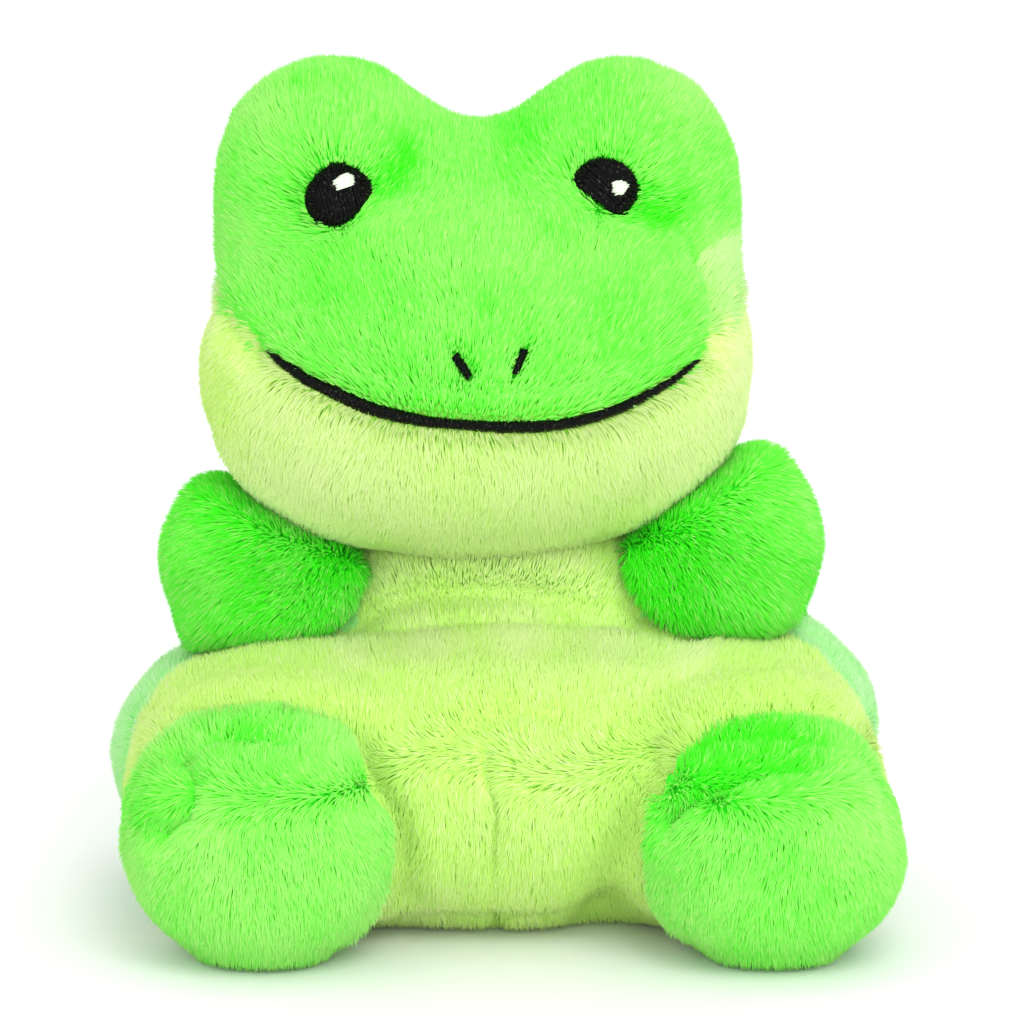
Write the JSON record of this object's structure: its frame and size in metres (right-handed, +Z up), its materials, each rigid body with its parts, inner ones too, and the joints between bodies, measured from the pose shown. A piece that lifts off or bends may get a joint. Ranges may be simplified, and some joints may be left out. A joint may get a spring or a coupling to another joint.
{
  "type": "plush frog",
  "caption": "Palm-sized sitting plush frog with a wide head, domed eyes, stub arms and round feet, filled with fibre and pellets.",
  "frame": {"origin": "on the table, under the middle of the toy's box", "axes": "+Z up through the head, -Y the way the toy faces, +X the toy's own left hand"},
  "size_m": [0.1152, 0.0912, 0.1246],
  "materials": {
    "green_plush": "short dense knitted pile, matt with a soft sheen",
    "lime_plush": "short dense knitted pile, matt with a soft sheen",
    "polyester_fibre": "loose white fibre",
    "pellet_cloth": "plain woven pouch cloth round plastic pellets",
    "black_embroidery": "satin stitch in glossy rayon thread",
    "white_embroidery": "satin stitch in glossy rayon thread",
    "green_thread": "twisted sewing thread"
  },
  "bodies": {
    "torso": {"belly_panel": "lime_plush", "back_panel": "green_plush", "closing_stitch": "green_thread", "body_stuffing": "polyester_fibre", "pellet_pouch": "pellet_cloth"},
    "head": {"head_top_panel": "green_plush", "chin_panel": "lime_plush", "head_back_panel": "green_plush", "head_stuffing": "polyester_fibre", "left_eye": "black_embroidery", "right_eye": "black_embroidery", "left_eye_glint": "white_embroidery", "right_eye_glint": "white_embroidery", "left_nostril": "black_embroidery", "right_nostril": "black_embroidery", "mouth_stitch": "black_embroidery"},
    "left_arm": {"left_arm_front_panel": "green_plush", "left_arm_back_panel": "green_plush", "left_arm_stuffing": "polyester_fibre"},
    "right_arm": {"right_arm_front_panel": "green_plush", "right_arm_back_panel": "green_plush", "right_arm_stuffing": "polyester_fibre"},
    "left_foot": {"left_foot_front_panel": "green_plush", "left_foot_top_panel": "green_plush", "left_foot_pellets": "pellet_cloth"},
    "right_foot": {"right_foot_front_panel": "green_plush", "right_foot_top_panel": "green_plush", "right_foot_pellets": "pellet_cloth"}
  },
  "joints": [
    {"name": "neck_twist", "type": "hinge", "parent": "torso", "child": "head", "pos_m": [-0.00426, 0.01137, 0.0575], "axis": [0, 0, 1], "range_deg": [-10, 10]},
    {"name": "left_arm_swing", "type": "hinge", "parent": "torso", "child": "left_arm", "pos_m": [0.01575, 0.00737, 0.0525], "axis": [0, 0, 1], "range_deg": [-18, 12]},
    {"name": "right_arm_swing", "type": "hinge", "parent": "torso", "child": "right_arm", "pos_m": [-0.02025, 0.00737, 0.051], "axis": [0, 0, 1], "range_deg": [-12, 18]},
    {"name": "left_foot_splay", "type": "hinge", "parent": "torso", "child": "left_foot", "pos_m": [0.03674, -0.01363, 0], "axis": [0, 0, 1], "range_deg": [-8, 8]},
    {"name": "right_foot_splay", "type": "hinge", "parent": "torso", "child": "right_foot", "pos_m": [-0.03325, -0.01363, 0], "axis": [0, 0, 1], "range_deg": [-8, 8]}
  ]
}
